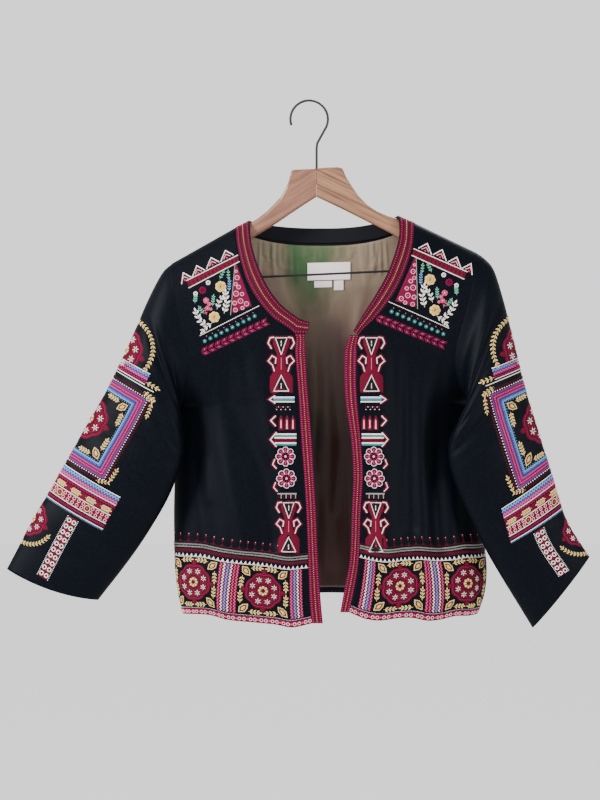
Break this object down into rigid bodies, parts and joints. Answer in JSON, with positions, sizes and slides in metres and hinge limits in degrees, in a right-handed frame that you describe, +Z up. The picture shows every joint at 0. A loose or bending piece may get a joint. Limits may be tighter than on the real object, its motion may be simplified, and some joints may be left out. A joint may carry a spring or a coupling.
{
  "type": "embroidered jacket on a hanger",
  "caption": "Collarless open-front jacket of dark embroidered cloth with long sleeves, hung on a wooden hanger with a wire hook and trouser bar.",
  "frame": {"origin": "underside of the hook's top, where it bears on a nail or rail", "axes": "+Z up; -Y out of the jacket's front; +X to the right as seen from the front, which is the wearer's left"},
  "size_m": [0.8474, 0.1386, 0.771],
  "materials": {
    "cloth": "matte woven cotton, densely embroidered",
    "band": "embroidered braid",
    "facing": "matte",
    "lining": "satin sheen",
    "label": "woven ribbon",
    "wood_right": "satin varnish, pinkish tan",
    "wood_left": "satin varnish, oak grain",
    "hook_wire": "dull dark steel",
    "bar_wire": "black coated wire"
  },
  "bodies": {
    "root": {"hanger_arm_right": "wood_right", "hanger_arm_left": "wood_left", "hanger_hook": "hook_wire", "hanger_bar": "bar_wire", "back_panel": "cloth", "front_panel_right": "cloth", "front_panel_left": "cloth", "sleeve_right": "cloth", "sleeve_left": "cloth", "neck_band_right": "band", "neck_band_left": "band", "neck_band_back": "band", "front_band_right": "band", "front_band_left": "band", "neck_facing_back": "facing", "lining_back": "lining", "label_main": "label", "label_tab_care": "label", "label_tab_size": "label"}
  },
  "joints": []
}
